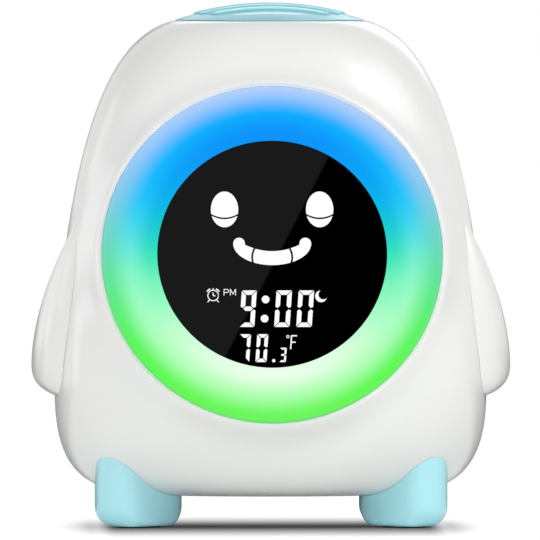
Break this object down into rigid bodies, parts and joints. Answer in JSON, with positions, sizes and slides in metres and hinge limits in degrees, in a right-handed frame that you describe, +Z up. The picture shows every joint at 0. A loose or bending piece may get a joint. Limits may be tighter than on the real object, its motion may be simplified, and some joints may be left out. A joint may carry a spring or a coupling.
{
  "type": "kids alarm clock with night light",
  "caption": "Penguin-shaped bedside alarm clock with a glowing light ring round a dark display, a press pad on top, wings, feet and rear keys.",
  "frame": {"origin": "on the table under the middle of the clock's overall box", "axes": "+Z up, the face looks along -Y, +X to the right as seen from the front"},
  "size_m": [0.137, 0.1006, 0.1499],
  "materials": {
    "white_shell": "polished white",
    "white_inner": "matt white",
    "blue_plastic": "satin pale blue",
    "black_rubber": "matt black",
    "steel": "plated",
    "ring_diffuser": "milky, lit from inside",
    "circuit_board": "solder mask",
    "led_body": "ivory",
    "display_window": "dark polished window",
    "display_black": "matt black",
    "display_light": "white, lit",
    "sensor_bead": "resin",
    "cell_sleeve": "sleeve",
    "cone_paper": "paper",
    "red_lead": "insulated",
    "black_lead": "insulated"
  },
  "bodies": {
    "clock": {"front_shell": "white_shell", "rear_shell": "white_shell", "left_wing": "white_shell", "right_wing": "white_shell", "left_foot": "blue_plastic", "right_foot": "blue_plastic", "rubber_pads": "black_rubber", "foot_screws": "steel", "case_screws": "steel", "light_ring": "ring_diffuser", "light_tray": "white_inner", "tray_screws": "steel", "ring_board": "circuit_board", "ring_leds": "led_body", "display_lens": "display_window", "display_mask": "display_black", "display_segments": "display_light", "display_board": "circuit_board", "display_chip": "display_black", "pad_spring": "steel", "pad_board": "circuit_board", "pad_switch": "display_black", "pad_board_screws": "steel", "main_board": "circuit_board", "main_chip": "display_black", "board_parts": "led_body", "board_screws": "steel", "key_switches": "display_black", "slider_switch": "steel", "power_socket": "steel", "temperature_sensor": "sensor_bead", "backup_cells": "cell_sleeve", "cell_plates": "steel", "cell_springs": "steel", "speaker_basket": "display_black", "speaker_cone": "cone_paper", "speaker_magnet": "steel", "speaker_clamp": "white_inner", "ring_leads": "red_lead", "cell_leads": "black_lead", "speaker_leads": "red_lead"},
    "top_pad": {"top_pad": "blue_plastic"},
    "alarm_slider": {"alarm_slider": "display_black"},
    "battery_door": {"battery_door": "white_shell", "door_screw": "steel"},
    "mode_key": {"mode_key": "blue_plastic"},
    "up_key": {"up_key": "blue_plastic"},
    "alarm_key": {"alarm_key": "blue_plastic"},
    "light_key": {"light_key": "blue_plastic"},
    "down_key": {"down_key": "blue_plastic"},
    "sound_key": {"sound_key": "blue_plastic"}
  },
  "joints": [
    {"name": "pad_press", "type": "slide", "parent": "clock", "child": "top_pad", "axis": [0, 0, -1], "range_m": [0, 0.0013], "stiffness_N_per_m": 1500, "springref_m": -0.0004, "deforming": ["pad_spring"]},
    {"name": "mode_key_press", "type": "slide", "parent": "clock", "child": "mode_key", "axis": [0, -1, 0], "range_m": [0, 0.0009], "stiffness_N_per_m": 700, "springref_m": -0.0003},
    {"name": "up_key_press", "type": "slide", "parent": "clock", "child": "up_key", "axis": [0, -1, 0], "range_m": [0, 0.0009], "stiffness_N_per_m": 700, "springref_m": -0.0003},
    {"name": "alarm_key_press", "type": "slide", "parent": "clock", "child": "alarm_key", "axis": [0, -1, 0], "range_m": [0, 0.0009], "stiffness_N_per_m": 700, "springref_m": -0.0003},
    {"name": "light_key_press", "type": "slide", "parent": "clock", "child": "light_key", "axis": [0, -1, 0], "range_m": [0, 0.0009], "stiffness_N_per_m": 700, "springref_m": -0.0003},
    {"name": "down_key_press", "type": "slide", "parent": "clock", "child": "down_key", "axis": [0, -1, 0], "range_m": [0, 0.0009], "stiffness_N_per_m": 700, "springref_m": -0.0003},
    {"name": "sound_key_press", "type": "slide", "parent": "clock", "child": "sound_key", "axis": [0, -1, 0], "range_m": [0, 0.0009], "stiffness_N_per_m": 700, "springref_m": -0.0003},
    {"name": "alarm_slide", "type": "slide", "parent": "clock", "child": "alarm_slider", "axis": [1, 0, 0], "range_m": [0, 0.004]},
    {"name": "door_removal", "type": "slide", "parent": "clock", "child": "battery_door", "axis": [0, 1, 0], "range_m": [0, 0.025]}
  ]
}
